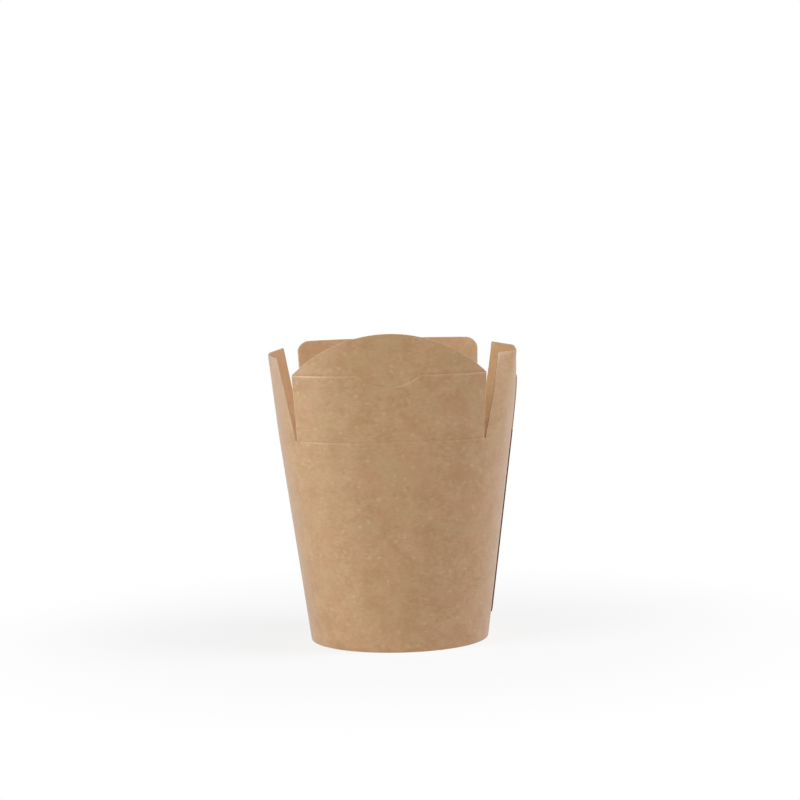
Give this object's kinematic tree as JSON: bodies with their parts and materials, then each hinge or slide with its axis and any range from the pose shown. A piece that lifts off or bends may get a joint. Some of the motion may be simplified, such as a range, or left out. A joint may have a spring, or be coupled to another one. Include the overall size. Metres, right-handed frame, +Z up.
{
  "type": "folding food box",
  "caption": "Open folding food box of kraft card: a round-footed wall that widens into a rounded-square mouth, with fold-in flaps and an arched lip with a lock tongue.",
  "frame": {"origin": "middle of the foot's circle, on the ground", "axes": "+Z up, the tall front flap with the arched lip faces -Y, the glued lap is on +X"},
  "size_m": [0.107, 0.0969, 0.1325],
  "materials": {
    "kraft_card": "unbleached kraft paperboard, matt, with fine fibre specks"
  },
  "bodies": {
    "cup": {"wall": "kraft_card", "base": "kraft_card"},
    "front": {"front_flap": "kraft_card"},
    "back": {"back_flap": "kraft_card"},
    "left": {"left_flap": "kraft_card"},
    "right": {"right_flap": "kraft_card"}
  },
  "joints": [
    {"name": "front_fold", "type": "hinge", "parent": "cup", "child": "front", "pos_m": [-0.002, -0.0288, 0.0884], "axis": [-1, 0, 0], "range_deg": [0, 76]},
    {"name": "back_fold", "type": "hinge", "parent": "cup", "child": "back", "pos_m": [-0.002, 0.0288, 0.0884], "axis": [1, 0, 0], "range_deg": [0, 88]},
    {"name": "left_fold", "type": "hinge", "parent": "cup", "child": "left", "pos_m": [-0.0417, 0, 0.0881], "axis": [0, 1, 0], "range_deg": [0, 125]},
    {"name": "right_fold", "type": "hinge", "parent": "cup", "child": "right", "pos_m": [0.0376, 0, 0.0881], "axis": [0, -1, 0], "range_deg": [0, 122]}
  ]
}
